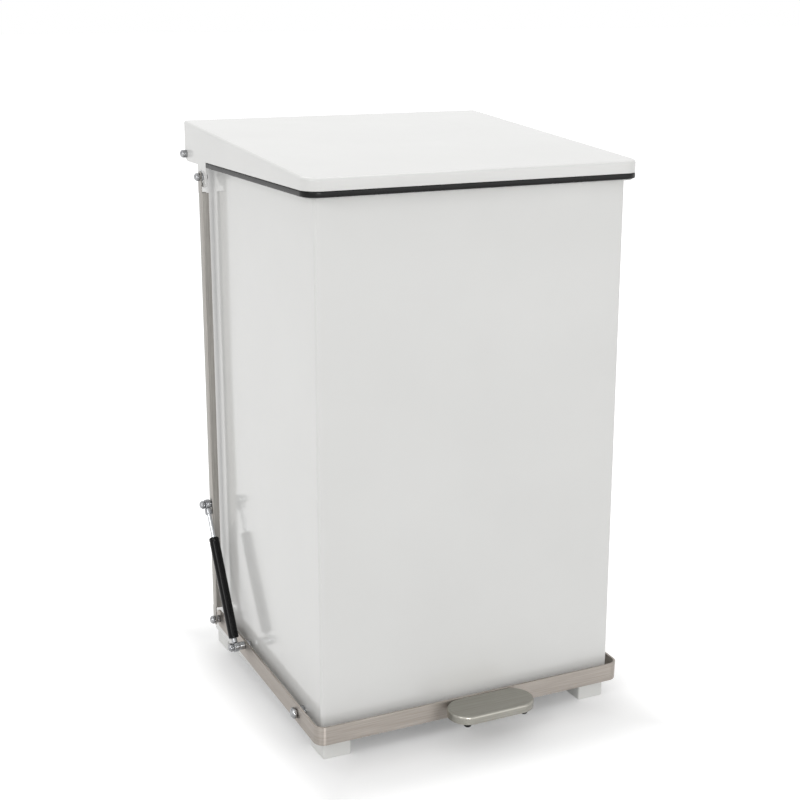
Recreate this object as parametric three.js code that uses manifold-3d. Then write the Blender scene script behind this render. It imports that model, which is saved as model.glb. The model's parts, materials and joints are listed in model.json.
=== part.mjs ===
// Step-on waste bin: a painted sheet-steel body on four feet, with a wedge-shaped hinged lid.
// A flat-bar pedal frame runs round the foot of the body. Pressing it lifts two rods, which
// swing the lid open, and a small damper between frame and left rod slows the lid's fall.
// Millimetres. X to the right, Y to the rear, Z up. The floor is z = 0.
import * as THREE from 'three';
import { mergeVertices } from 'three/addons/utils/BufferGeometryUtils.js';
import Module from 'manifold-3d';

const wasm = await Module();
wasm.setup();

// ---------------------------------------------------------------- driving dimensions
const gap = 0.3;                      // clearance between pieces that touch
const weld = 0.01;                    // overlap that joins two solids into one
const overcut = 1;                    // how far a cutting tool passes the face it cuts
const sharp = 0.5;                    // corner radius where an outline is meant to be square
const sheet = 1.5;                    // painted sheet steel

const overallHeight = 762;
const bodyWidth = 420;
const bodyDepth = 406;
const bodyCornerRadius = 4;
const baseFlangeWidth = 12;
const rimFlangeWidth = 10;            // the gasket closes on this flange

const footWidth = 38;
const footDepth = 42;
const footHeight = 20;
const footInset = 3;
const footCornerRadius = 2;
const footScrewRadius = 3;
const footScrewHeadRadius = 6;
const footScrewHeadHeight = 3;
const footScrewDepth = 12;

const panNutClearance = 2;             // base pan's rim below the pivot nuts

const linerClearance = 11;            // between body wall and liner
const linerWall = 2;
const linerCornerRadius = 24;
const linerFloorHeight = 28;
const linerLipOverhang = 2;

const lidOverhang = 15;
const lidBehindBody = 16;
const lidRearHeight = 56.5;           // top of the lid above the gasket's seat, at the rear
const lidFrontHeight = 22;            // the same at the front
const lidCornerRadius = 22;
const lidRearCornerRadius = 5;
const lidEdgeRadius = 4;
const gasketHeight = 7;
const gasketWidth = 10;
const gasketCornerRadius = 8;         // inner edge
const gasketRearInset = 74;           // gasket end to the rear face of the body
const skirtDrop = 2;                  // rear part of the side skirt above the gasket's seat
const skirtRearCut = 13;
const lidRearWallLift = 14;           // lower edge of the rear wall above the gasket's seat

const axleRadius = 3;
const axleBehindBody = 6;
const axleAboveSeat = 12;
const axleNutFlats = 10;
const axleNutLength = 6.5;

const tabWidth = 33;
const tabDrop = 28.5;
const tabCornerRadius = 9;
const tabPlay = 4.7;                  // room round the upper rod bolt, taken up as the lid swings

const strapHeight = 25;
const strapThickness = 3;
const strapStandoff = 8.5;            // body side to inner face of the flat bar
const strapFrontReach = 71;         // pivot to outer face of the front bar, along the frame
const strapCornerRadius = 14;
const framePivotInset = 57;
const framePivotHeight = 44;
const frameArmRise = 14;              // rod bolt above frame pivot
const rodLowerInset = 56;             // rod's lower bolt to the rear face of the body
const pivotBoltRadius = 4;
const pivotNutFlats = 13;
const pivotHeadHeight = 5;
const pivotNutHeight = 6;
const pivotSpacerRadius = 7;
const pivotBoltSpare = 1;             // thread past its nut

const padWidth = 120;
const padDepth = 50;
const padPlate = 2.5;
const padSkirt = 11;
const padWall = 2;
const padOffset = 8;                  // pad centre to the right of the body's centre
const bumperRadius = 5;
const bumperSpread = 41;
const bumperSetback = 10.5;           // bumper centre behind the pad's front edge
const bumperBelowSkirt = 6.5;

const rodWebWidth = 12;
const rodFlangeDepth = 10.5;
const rodSheet = 1.5;
const rodTabClearance = 2;            // side of the lid to inner face of the rod's web
const rodEndRadius = 7.5;
const rodFlangeTrimLow = 20;
const rodFlangeTrimHigh = 21;
const rodTopAheadOfAxle = 62;
const rodTopBelowAxle = 25;
const linkBoltRadius = 3;
const linkNutFlats = 10;
const linkNutHeight = 5;
const linkHeadHeight = 4.5;
const linkDome = 2.2;
const crownChamfer = 0.6;             // flats to the foot of a domed crown, on each side
const spacerRadius = 5.5;
const washerRadius = 7;

const damperLowAlong = 190;           // frame pivot to damper bolt, along the frame
const damperLowAbove = 6;             // and above the bar's centre line
const damperHighAlong = 176;        // lower rod bolt to damper bolt, along the rod
const damperClearance = 2;            // outer face of the rod to the damper's upper eye
const damperRadius = 7;
const damperChamfer = 1;
const damperStart = 12;
const damperLength = 143;
const damperRodRadius = 3;
const damperRodInsertion = 75;
const damperBoreDepth = 95;
const eyeRadius = 7;
const eyeThickness = 7;
const eyeNeckRadius = 4;
const eyeSocketRadius = 5;
const eyeNeckLength = 15;
const studRadius = 2.7;
const studBite = 4;                   // stud of the lower eye inside the cylinder
const studHeadRadius = 4.2;
const studHeadHeight = 2.6;
const studWasherRadius = 5;
const capBite = 3;                    // thread of a bolt inside its cap nut

const bracketSheet = 2;
const bracketInset = 10;              // body side to bracket ear
const bracketFlangeWidth = 30;
const bracketFlangeHeight = 50;
const bracketBelowRim = 8;
const bracketEyeRadius = 6.5;
const rivetRadius = 2;
const rivetHeadRadius = 4;
const rivetHeadHeight = 1.8;
const rivetSpacing = 24;

// ---------------------------------------------------------------- derived places
const halfWidth = bodyWidth / 2;
const seatHeight = overallHeight - lidRearHeight;
const rimHeight = seatHeight - gap;
const strapOuter = strapStandoff + strapThickness;
const strapHalf = strapHeight / 2;
const rodStandoff = lidOverhang + rodTabClearance;
const damperStandoff = rodStandoff + rodSheet + damperClearance + eyeThickness / 2;

const axleY = bodyDepth + axleBehindBody;
const axleZ = seatHeight + axleAboveSeat;
const rodTopY = axleY - rodTopAheadOfAxle;
const rodTopZ = axleZ - rodTopBelowAxle;
const rodLowY = bodyDepth - rodLowerInset;
const rodLowZ = framePivotHeight + frameArmRise;

const armRun = rodLowY - framePivotInset;
const armLength = Math.hypot(armRun, frameArmRise);
const frameTilt = Math.atan2(frameArmRise, armRun);
const rodLength = Math.hypot(rodTopY - rodLowY, rodTopZ - rodLowZ);
const rodTilt = Math.atan2(rodTopY - rodLowY, rodTopZ - rodLowZ);

const damperLow = fromFrame(damperLowAlong, damperLowAbove);
const damperHigh = [
  rodLowY + damperHighAlong * Math.sin(rodTilt),
  rodLowZ + damperHighAlong * Math.cos(rodTilt),
];
const damperSpan = Math.hypot(damperHigh[0] - damperLow[0], damperHigh[1] - damperLow[1]);
const damperTilt = Math.atan2(damperHigh[0] - damperLow[0], damperHigh[1] - damperLow[1]);
const eyeInner = damperStandoff - eyeThickness / 2;
const eyeOuter = damperStandoff + eyeThickness / 2;

const lidFront = -lidOverhang;
const lidRear = bodyDepth + lidBehindBody;
const lidHalf = halfWidth + lidOverhang;
const lidSlope = Math.atan2(lidRearHeight - lidFrontHeight, lidRear - lidFront);
const skirtBottom = seatHeight + gasketHeight + gap;
const gasketEnd = bodyDepth - gasketRearInset;
const tabFront = gasketEnd + gap;
const tabBottom = seatHeight + skirtDrop - tabDrop;

// The overall box: pad front to lid rear, damper nut to right rod bolt.
const padFrontY = fromFrame(-(strapFrontReach + gap + padDepth), strapHalf)[0];
const leftMost = -(halfWidth + eyeOuter + gap + linkNutHeight + linkDome);
const rightMost = halfWidth + rodStandoff + rodSheet + gap + linkHeadHeight + linkDome;

// A place on the side face, given along and square to the tilted pedal frame.
function fromFrame(along, above) {
  const y = framePivotInset + along * Math.cos(frameTilt) - above * Math.sin(frameTilt);
  const z = framePivotHeight + along * Math.sin(frameTilt) + above * Math.cos(frameTilt);
  return [y, z];
}

// ---------------------------------------------------------------- finishes
const finishes = {
  whitePaint: { color: '#e6e6e4', roughness: 0.32, metalness: 0 },
  whitePlastic: { color: '#e9e9e6', roughness: 0.5, metalness: 0 },
  brushedSteel: { color: '#a39f9b', roughness: 0.38, metalness: 1 },
  zincSteel: { color: '#a9aaa8', roughness: 0.3, metalness: 1 },
  chrome: { color: '#d6d8da', roughness: 0.12, metalness: 1 },
  blackPaint: { color: '#1a1a1a', roughness: 0.35, metalness: 0 },
  blackRubber: { color: '#1f2020', roughness: 0.7, metalness: 0 },
  greyPlastic: { color: '#8d9092', roughness: 0.55, metalness: 0 },
};

const product = new THREE.Group();

function add(name, geometry, finish, parent = product) {
  const mesh = new THREE.Mesh(geometry, new THREE.MeshStandardMaterial(finishes[finish]));
  mesh.name = name;
  parent.add(mesh);
  return mesh;
}

// ---------------------------------------------------------------- solids
function solid(geometry) {
  const bare = geometry.clone();
  bare.deleteAttribute('normal');
  bare.deleteAttribute('uv');
  const merged = mergeVertices(bare, 1e-4);
  const vertProperties = new Float32Array(merged.attributes.position.array);
  const triVerts = new Uint32Array(merged.index.array);
  return new wasm.Manifold(new wasm.Mesh({ numProp: 3, vertProperties, triVerts }));
}

function geometryOf(body) {
  const mesh = body.getMesh();
  const geometry = new THREE.BufferGeometry();
  geometry.setAttribute('position', new THREE.BufferAttribute(new Float32Array(mesh.vertProperties), 3));
  geometry.setIndex(new THREE.BufferAttribute(new Uint32Array(mesh.triVerts), 1));
  return geometry;
}

function union(...geometries) {
  return geometryOf(geometries.map(solid).reduce((sum, next) => sum.add(next)));
}

function cut(geometry, ...tools) {
  return geometryOf(tools.map(solid).reduce((rest, tool) => rest.subtract(tool), solid(geometry)));
}

function common(...geometries) {
  return geometryOf(geometries.map(solid).reduce((rest, next) => rest.intersect(next)));
}

function block(x0, x1, y0, y1, z0, z1) {
  const geometry = new THREE.BoxGeometry(x1 - x0, y1 - y0, z1 - z0);
  return geometry.translate((x0 + x1) / 2, (y0 + y1) / 2, (z0 + z1) / 2);
}

// Outline with its own radius at the front and rear corners, counter-clockwise from above.
function roundedOutline(x0, x1, y0, y1, front, rear) {
  const shape = new THREE.Shape();
  shape.moveTo(x0 + front, y0);
  shape.lineTo(x1 - front, y0);
  shape.absarc(x1 - front, y0 + front, front, -Math.PI / 2, 0, false);
  shape.lineTo(x1, y1 - rear);
  shape.absarc(x1 - rear, y1 - rear, rear, 0, Math.PI / 2, false);
  shape.lineTo(x0 + rear, y1);
  shape.absarc(x0 + rear, y1 - rear, rear, Math.PI / 2, Math.PI, false);
  shape.lineTo(x0, y0 + front);
  shape.absarc(x0 + front, y0 + front, front, Math.PI, 1.5 * Math.PI, false);
  return shape;
}

function plate(shape, z0, z1, segments = 4) {
  const options = { depth: z1 - z0, bevelEnabled: false, curveSegments: segments };
  return new THREE.ExtrudeGeometry(shape, options).translate(0, 0, z0);
}

// A profile drawn in (y, z) and extruded along X.
const sideBasis = new THREE.Matrix4().makeBasis(
  new THREE.Vector3(0, 1, 0), new THREE.Vector3(0, 0, 1), new THREE.Vector3(1, 0, 0));

function sidePlate(shape, x0, x1, segments = 6) {
  const options = { depth: x1 - x0, bevelEnabled: false, curveSegments: segments };
  const geometry = new THREE.ExtrudeGeometry(shape, options);
  return geometry.applyMatrix4(sideBasis).translate(x0, 0, 0);
}

function polygon(points) {
  return new THREE.Shape(points.map(([a, b]) => new THREE.Vector2(a, b)));
}

// Cylinder along X between two stations, and the same with six flats.
function barX(radius, x0, x1, y, z, sides = 16) {
  const geometry = new THREE.CylinderGeometry(radius, radius, Math.abs(x1 - x0), sides);
  return geometry.rotateZ(Math.PI / 2).translate((x0 + x1) / 2, y, z);
}

function hexX(flats, x0, x1, y, z) {
  return barX(flats / Math.sqrt(3), x0, x1, y, z, 6);
}

function barZ(radius, z0, z1, x, y, sides = 16) {
  const geometry = new THREE.CylinderGeometry(radius, radius, z1 - z0, sides);
  return geometry.rotateX(Math.PI / 2).translate(x, y, (z0 + z1) / 2);
}

// Turned piece about X: [distance, radius] pairs from the inner end, on the given side.
function turnedX(profile, side, x, y, z, sides = 16) {
  const points = profile.map(([along, radius]) => new THREE.Vector2(radius, along));
  const geometry = new THREE.LatheGeometry(points, sides);
  return geometry.rotateZ(-side * Math.PI / 2).translate(x, y, z);
}

// ---------------------------------------------------------------- stations on the two sides
// A station is a distance outward from the body's side face; side is -1 left, +1 right.
const left = -1;
const right = 1;
const sides = [[left, 'left'], [right, 'right']];

function station(side, out) {
  return side * (halfWidth + out);
}

function sideSlab(shape, side, inner, outer, segments) {
  const ends = [station(side, inner), station(side, outer)].sort((a, b) => a - b);
  return sidePlate(shape, ends[0], ends[1], segments);
}

function ring(side, inner, outer, y, z, radius, hole) {
  const a = station(side, inner);
  const b = station(side, outer);
  const over = side * gap;
  return cut(barX(radius, a, b, y, z), barX(hole, a - over, b + over, y, z, 12));
}

function nut(side, inner, outer, y, z, flats, hole) {
  const a = station(side, inner);
  const b = station(side, outer);
  const over = side * gap;
  return cut(hexX(flats, a, b, y, z), barX(hole, a - over, b + over, y, z, 12));
}

// Hexagon with a domed crown, growing outward from its seat.
function domedHex(side, seat, y, z, flats, height) {
  const crown = flats / 2 - crownChamfer;
  const top = seat + height;
  const profile = [[0, 0], [0, crown], [linkDome * Math.SQRT1_2, crown * Math.SQRT1_2], [linkDome, 0]];
  const dome = turnedX(profile, side, station(side, top - weld), y, z, 12);
  return union(hexX(flats, station(side, seat), station(side, top), y, z), dome);
}

// The same head with its shank running inward.
function domedBolt(side, seat, tip, y, z, flats, height, shank) {
  const stem = barX(shank, station(side, tip), station(side, seat + overcut), y, z, 12);
  return union(domedHex(side, seat, y, z, flats, height), stem);
}

// Domed cap nut with a blind hole for the end of its bolt.
function capNut(side, seat, boltEnd, y, z, flats, height, hole) {
  const bore = barX(hole, station(side, seat - gap), station(side, boltEnd + gap), y, z, 12);
  return cut(domedHex(side, seat, y, z, flats, height), bore);
}

// ---------------------------------------------------------------- body
// The body's plan, shrunk by an inset all round.
function bodyOutline(inset) {
  const half = halfWidth - inset;
  const radius = bodyCornerRadius - inset;
  return roundedOutline(-half, half, inset, bodyDepth - inset, radius, radius);
}

function bodyShell() {
  const outer = plate(bodyOutline(0), footHeight, rimHeight, 3);
  const inner = plate(bodyOutline(sheet), footHeight + sheet, rimHeight + overcut, 3);
  const opening = plate(roundedOutline(-halfWidth + baseFlangeWidth, halfWidth - baseFlangeWidth,
    baseFlangeWidth, bodyDepth - baseFlangeWidth, bodyCornerRadius, bodyCornerRadius),
  footHeight - overcut, footHeight + sheet + overcut, 3);
  const reach = rimFlangeWidth;
  const within = sheet / 3;
  const flange = cut(
    plate(roundedOutline(-halfWidth - reach, halfWidth + reach, -reach, gasketEnd - gap,
      bodyCornerRadius + reach, sharp), rimHeight - sheet, rimHeight, 4),
    block(-halfWidth + within, halfWidth - within, within, bodyDepth, rimHeight - sheet - overcut,
      rimHeight + overcut));
  const holes = [];
  for (const [side] of sides) {
    holes.push(barX(pivotBoltRadius + gap, station(side, -sheet - overcut), station(side, overcut),
      framePivotInset, framePivotHeight, 12));
    for (const z of rivetHeights()) holes.push(rivetHole(side, z));
  }
  return cut(union(cut(outer, inner, opening), flange), ...holes);
}

function basePan() {
  const inset = sheet + gap;
  const floor = footHeight + inset;
  const rim = framePivotHeight - pivotNutFlats / Math.sqrt(3) - panNutClearance;
  const outer = plate(bodyOutline(inset), floor, rim, 3);
  const inner = plate(bodyOutline(inset + sheet), floor + sheet, rim + overcut, 3);
  const holes = footPlaces().map(({ x, y }) => (
    barZ(footScrewRadius + gap, floor - overcut, floor + sheet + overcut, x, y, 12)));
  return cut(outer, inner, ...holes);
}

function footPlaces() {
  const x = halfWidth - footInset - footWidth / 2;
  const front = footInset + footDepth / 2;
  const rear = bodyDepth - footInset - footDepth / 2;
  return [
    { name: 'front_left', x: -x, y: front },
    { name: 'front_right', x, y: front },
    { name: 'rear_left', x: -x, y: rear },
    { name: 'rear_right', x, y: rear },
  ];
}

function foot({ x, y }) {
  const top = footHeight - gap;
  const outline = roundedOutline(x - footWidth / 2, x + footWidth / 2, y - footDepth / 2,
    y + footDepth / 2, footCornerRadius, footCornerRadius);
  const hole = barZ(footScrewRadius + gap, top - footScrewDepth, top + overcut, x, y, 12);
  return cut(plate(outline, 0, top, 3), hole);
}

function footScrew({ x, y }) {
  const seat = footHeight + 2 * sheet + 2 * gap;
  const tip = footHeight - footScrewDepth + gap;
  const head = barZ(footScrewHeadRadius, seat, seat + footScrewHeadHeight, x, y, 16);
  return union(head, barZ(footScrewRadius, tip, seat + overcut, x, y, 12));
}

function innerLiner() {
  const out = halfWidth - sheet - linerClearance;
  const inset = sheet + linerClearance;
  const lipOut = halfWidth + linerLipOverhang;
  const wall = plate(roundedOutline(-out, out, inset, bodyDepth - inset, linerCornerRadius,
    linerCornerRadius), linerFloorHeight, seatHeight + linerWall, 5);
  const lip = plate(roundedOutline(-lipOut, lipOut, -linerLipOverhang, bodyDepth - gap,
    bodyCornerRadius + linerLipOverhang, bodyCornerRadius), seatHeight, seatHeight + linerWall, 3);
  const cavity = plate(roundedOutline(-out + linerWall, out - linerWall, inset + linerWall,
    bodyDepth - inset - linerWall, linerCornerRadius - linerWall, linerCornerRadius - linerWall),
  linerFloorHeight + linerWall, seatHeight + 2 * linerWall, 5);
  return cut(union(wall, lip), cavity);
}

add('body_shell', bodyShell(), 'whitePaint');
add('base_pan', basePan(), 'whitePaint');
for (const place of footPlaces()) {
  add(`foot_${place.name}`, foot(place), 'whitePlastic');
  add(`foot_screw_${place.name}`, footScrew(place), 'zincSteel');
}
add('inner_liner', innerLiner(), 'greyPlastic');

// ---------------------------------------------------------------- hinge brackets and rivets
function rivetHeights() {
  const middle = rimHeight - bracketBelowRim - bracketFlangeHeight / 2;
  return [middle - rivetSpacing / 2, middle + rivetSpacing / 2];
}

function rivetX(side) {
  return station(side, -(bracketInset + bracketSheet + bracketFlangeWidth / 2));
}

function barY(radius, y0, y1, x, z, sides = 12) {
  const geometry = new THREE.CylinderGeometry(radius, radius, y1 - y0, sides);
  return geometry.translate(x, (y0 + y1) / 2, z);
}

function rivetHole(side, z) {
  const reach = gap + bracketSheet + overcut;
  return barY(rivetRadius + gap, bodyDepth - sheet - overcut, bodyDepth + reach, rivetX(side), z);
}

function hingeBracket(side) {
  const face = bodyDepth + gap;
  const top = rimHeight - bracketBelowRim;
  const bottom = top - bracketFlangeHeight;
  const ear = new THREE.Shape();
  ear.moveTo(face, bottom);
  ear.lineTo(face + bracketSheet, bottom);
  ear.lineTo(face + bracketSheet, top - bracketFlangeHeight / 2);
  ear.absarc(axleY, axleZ, bracketEyeRadius, -0.2 * Math.PI, 0.8 * Math.PI, false);
  ear.lineTo(face, axleZ - bracketEyeRadius);
  ear.closePath();
  const inner = station(side, -bracketInset - bracketSheet);
  const far = station(side, -bracketInset - bracketSheet - bracketFlangeWidth);
  const flange = block(Math.min(inner, far) - weld, Math.max(inner, far) + weld, face,
    face + bracketSheet, bottom, top);
  const tools = rivetHeights().map((z) => rivetHole(side, z));
  tools.push(barX(axleRadius + gap, inner - side * overcut, station(side, 0), axleY, axleZ, 12));
  return cut(union(sideSlab(ear, side, -bracketInset - bracketSheet, -bracketInset), flange), ...tools);
}

function rivet(side, z) {
  const x = rivetX(side);
  const outer = bodyDepth + 2 * gap + bracketSheet;
  const inner = bodyDepth - sheet - gap;
  const head = barY(rivetHeadRadius, outer, outer + rivetHeadHeight, x, z);
  const tail = barY(rivetHeadRadius, inner - rivetHeadHeight, inner, x, z);
  return union(head, tail, barY(rivetRadius, inner - overcut, outer + overcut, x, z));
}

for (const [side, hand] of sides) {
  add(`hinge_bracket_${hand}`, hingeBracket(side), 'whitePaint');
  rivetHeights().forEach((z, i) => add(`bracket_rivet_${hand}_${i + 1}`, rivet(side, z), 'zincSteel'));
}

// ---------------------------------------------------------------- lid
// Side profile: sloping top, skirt over the gasket, deeper skirt with a tab at the rear.
function lidSide() {
  const top = (y) => seatHeight + lidFrontHeight + (y - lidFront) * Math.tan(lidSlope);
  const deep = seatHeight + skirtDrop;
  const shape = new THREE.Shape();
  shape.moveTo(lidFront, skirtBottom);
  shape.lineTo(tabFront, skirtBottom);
  shape.lineTo(tabFront, tabBottom + tabCornerRadius);
  shape.absarc(tabFront + tabCornerRadius, tabBottom + tabCornerRadius, tabCornerRadius,
    Math.PI, 1.5 * Math.PI, false);
  const tabRear = tabFront + tabWidth;
  shape.lineTo(tabRear - tabCornerRadius, tabBottom);
  shape.absarc(tabRear - tabCornerRadius, tabBottom + tabCornerRadius, tabCornerRadius,
    -Math.PI / 2, 0, false);
  shape.lineTo(tabRear, deep);
  shape.lineTo(lidRear - skirtRearCut, deep);
  shape.lineTo(lidRear, deep + skirtRearCut / 2);
  shape.lineTo(lidRear, top(lidRear) - lidEdgeRadius);
  shape.quadraticCurveTo(lidRear, top(lidRear), lidRear - lidEdgeRadius, top(lidRear - lidEdgeRadius));
  shape.lineTo(lidFront + lidEdgeRadius, top(lidFront + lidEdgeRadius));
  shape.quadraticCurveTo(lidFront, top(lidFront), lidFront, top(lidFront) - lidEdgeRadius);
  shape.closePath();
  return shape;
}

// Prism that follows the slope, with rounded long edges; inset shrinks it on every face.
function slopingPrism(inset) {
  const half = lidHalf - inset;
  const radius = lidEdgeRadius - inset;
  const depth = 2 * (lidRearHeight + tabDrop);
  const section = new THREE.Shape();
  section.moveTo(-half, -depth);
  section.lineTo(half, -depth);
  section.lineTo(half, -inset - radius);
  section.absarc(half - radius, -inset - radius, radius, 0, Math.PI / 2, false);
  section.lineTo(-half + radius, -inset);
  section.absarc(-half + radius, -inset - radius, radius, Math.PI / 2, Math.PI, false);
  section.closePath();
  const run = lidRear - lidFront;
  const options = { depth: 1.4 * run, bevelEnabled: false, curveSegments: 3 };
  const geometry = new THREE.ExtrudeGeometry(section, options);
  geometry.rotateX(Math.PI / 2).translate(0, 1.2 * run, 0);
  return geometry.rotateX(lidSlope).translate(0, lidFront, seatHeight + lidFrontHeight);
}

function lidPlan(inset, z0, z1) {
  const half = lidHalf - inset;
  return plate(roundedOutline(-half, half, lidFront + inset, lidRear - inset, lidCornerRadius - inset,
    lidRearCornerRadius - inset), z0, z1, 6);
}

function lidShell() {
  const low = tabBottom - overcut;
  const high = overallHeight + overcut;
  const side = lidHalf + overcut;
  const profile = sidePlate(lidSide(), -side, side, 3);
  const outer = common(lidPlan(0, low, high), slopingPrism(0), profile);
  const cavity = common(lidPlan(sheet, low - overcut, high), slopingPrism(sheet));
  const shell = cut(outer, cavity);
  const within = sheet / 3;
  const lip = cut(
    plate(roundedOutline(-lidHalf + within, lidHalf - within, lidFront + within, gasketEnd,
      lidCornerRadius - within, sharp), skirtBottom, skirtBottom + sheet, 6),
    gasketHole(skirtBottom - overcut, skirtBottom + sheet + overcut));
  const tools = [
    block(-lidHalf + sheet, lidHalf - sheet, lidRear - 2 * lidEdgeRadius, lidRear + overcut,
      seatHeight, seatHeight + lidRearWallLift),
    barX(axleRadius + gap, -side, side, axleY, axleZ, 12),
    barX(linkBoltRadius + gap + tabPlay, -side, side, rodTopY, rodTopZ, 24),
  ];
  return cut(union(shell, lip), ...tools);
}

function gasketHole(z0, z1) {
  const half = lidHalf - gasketWidth;
  const outline = roundedOutline(-half, half, lidFront + gasketWidth, bodyDepth, gasketCornerRadius, sharp);
  return plate(outline, z0, z1, 4);
}

function lidGasket() {
  const outline = roundedOutline(-lidHalf, lidHalf, lidFront, gasketEnd, lidCornerRadius, sharp);
  const top = seatHeight + gasketHeight;
  return cut(plate(outline, seatHeight, top, 6), gasketHole(seatHeight - overcut, top + overcut));
}

add('lid_shell', lidShell(), 'whitePaint');
add('lid_gasket', lidGasket(), 'blackRubber');
const axleEnd = lidOverhang + gap + axleNutLength / 2;
add('hinge_axle', barX(axleRadius, station(left, axleEnd), station(right, axleEnd), axleY, axleZ),
  'zincSteel');
for (const [side, hand] of sides) {
  add(`hinge_nut_${hand}`, capNut(side, lidOverhang + gap, axleEnd, axleY, axleZ, axleNutFlats,
    axleNutLength, axleRadius + gap), 'zincSteel');
}

// ---------------------------------------------------------------- pedal frame, in its tilted plane
const frameGroup = new THREE.Group();
frameGroup.position.set(0, framePivotInset, framePivotHeight);
frameGroup.rotation.x = frameTilt;
product.add(frameGroup);

function pedalFrame() {
  const outerHalf = halfWidth + strapOuter;
  const innerHalf = halfWidth + strapStandoff;
  const front = -strapFrontReach;
  const rear = armLength + strapHalf;
  const outer = plate(roundedOutline(-outerHalf, outerHalf, front, rear, strapCornerRadius, sharp),
    -strapHalf, strapHalf, 5);
  const inner = plate(roundedOutline(-innerHalf, innerHalf, front + strapThickness, rear + overcut,
    strapCornerRadius - strapThickness, sharp), -strapHalf - overcut, strapHalf + overcut, 5);
  const side = new THREE.Shape();
  side.moveTo(front - overcut, -strapHalf);
  side.lineTo(armLength, -strapHalf);
  side.absarc(armLength, 0, strapHalf, -Math.PI / 2, Math.PI / 2, false);
  side.lineTo(front - overcut, strapHalf);
  side.closePath();
  const wide = outerHalf + overcut;
  const bar = common(cut(outer, inner), sidePlate(side, -wide, wide, 5));
  return cut(bar,
    barX(pivotBoltRadius + gap, -wide, wide, 0, 0, 12),
    barX(linkBoltRadius + gap, -wide, wide, armLength, 0, 12),
    barX(linkBoltRadius + gap, -wide, 0, damperLowAlong, damperLowAbove, 12));
}

function padOutline(inset) {
  const half = padWidth / 2 - inset;
  const radius = padDepth / 2 - inset;
  const middle = -(strapFrontReach + gap + padDepth / 2);
  const corner = radius - weld;
  return roundedOutline(padOffset - half, padOffset + half, middle - radius, middle + radius,
    corner, corner);
}

function pedalPad() {
  const top = strapHalf;
  const shell = plate(padOutline(0), top - padSkirt, top, 6);
  return cut(shell, plate(padOutline(padWall), top - padSkirt - overcut, top - padPlate, 6));
}

function bumper(side) {
  const x = padOffset + side * bumperSpread;
  const y = -(strapFrontReach + gap + padDepth - bumperSetback);
  return barZ(bumperRadius, strapHalf - padSkirt - bumperBelowSkirt, strapHalf - padPlate - gap, x, y, 16);
}

add('pedal_frame', pedalFrame(), 'brushedSteel', frameGroup);
add('pedal_pad', pedalPad(), 'brushedSteel', frameGroup);
add('pedal_bumper_left', bumper(left), 'blackRubber', frameGroup);
add('pedal_bumper_right', bumper(right), 'blackRubber', frameGroup);

for (const [side, hand] of sides) {
  const [y, z] = [framePivotInset, framePivotHeight];
  const hole = pivotBoltRadius + gap;
  const nutInner = -sheet - gap - pivotNutHeight;
  add(`pivot_bolt_${hand}`, domedBolt(side, strapOuter + gap, nutInner - pivotBoltSpare, y, z,
    pivotNutFlats, pivotHeadHeight, pivotBoltRadius), 'zincSteel');
  add(`pivot_spacer_${hand}`, ring(side, gap, strapStandoff - gap, y, z, pivotSpacerRadius, hole),
    'zincSteel');
  add(`pivot_nut_${hand}`, nut(side, nutInner, -sheet - gap, y, z, pivotNutFlats, hole), 'zincSteel');

  const linkHole = linkBoltRadius + gap;
  const rodFace = rodStandoff + rodSheet + gap;
  add(`rod_lower_bolt_${hand}`, domedBolt(side, rodFace, strapStandoff - gap - linkNutHeight, rodLowY,
    rodLowZ, linkNutFlats, linkHeadHeight, linkBoltRadius), 'zincSteel');
  add(`rod_lower_nut_${hand}`, nut(side, strapStandoff - gap - linkNutHeight, strapStandoff - gap,
    rodLowY, rodLowZ, linkNutFlats, linkHole), 'zincSteel');
  add(`rod_lower_spacer_${hand}`, ring(side, strapOuter + gap, rodStandoff - gap, rodLowY, rodLowZ,
    spacerRadius, linkHole), 'zincSteel');
}

// ---------------------------------------------------------------- lift rods
// Channel section: the web faces out, both flanges point at the body and stop short of the bolts.
function liftRod(side) {
  const web = new THREE.Shape();
  const meet = Math.acos(rodWebWidth / 2 / rodEndRadius);
  web.absarc(0, 0, rodEndRadius, Math.PI + meet, 2 * Math.PI - meet, false);
  web.absarc(0, rodLength, rodEndRadius, meet, Math.PI - meet, false);
  web.closePath();
  const outer = rodStandoff + rodSheet;
  const inner = outer - rodFlangeDepth;
  const low = rodFlangeTrimLow;
  const high = rodLength - rodFlangeTrimHigh;
  const pieces = [sideSlab(web, side, rodStandoff, outer, 5)];
  for (const edge of [-1, 1]) {
    const a = edge * rodWebWidth / 2;
    const b = edge * (rodWebWidth / 2 - rodSheet);
    const strip = polygon([[a, low], [b, low], [b, high], [a, high]]);
    pieces.push(sideSlab(strip, side, inner, outer - rodSheet / 2));
  }
  const ends = [station(side, rodStandoff - overcut), station(side, outer + overcut)];
  const tools = [0, rodLength].map((z) => barX(linkBoltRadius + gap, ...ends, 0, z, 12));
  if (side === left) tools.push(barX(studRadius + gap, ...ends, 0, damperHighAlong, 12));
  return cut(union(...pieces), ...tools);
}

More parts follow.
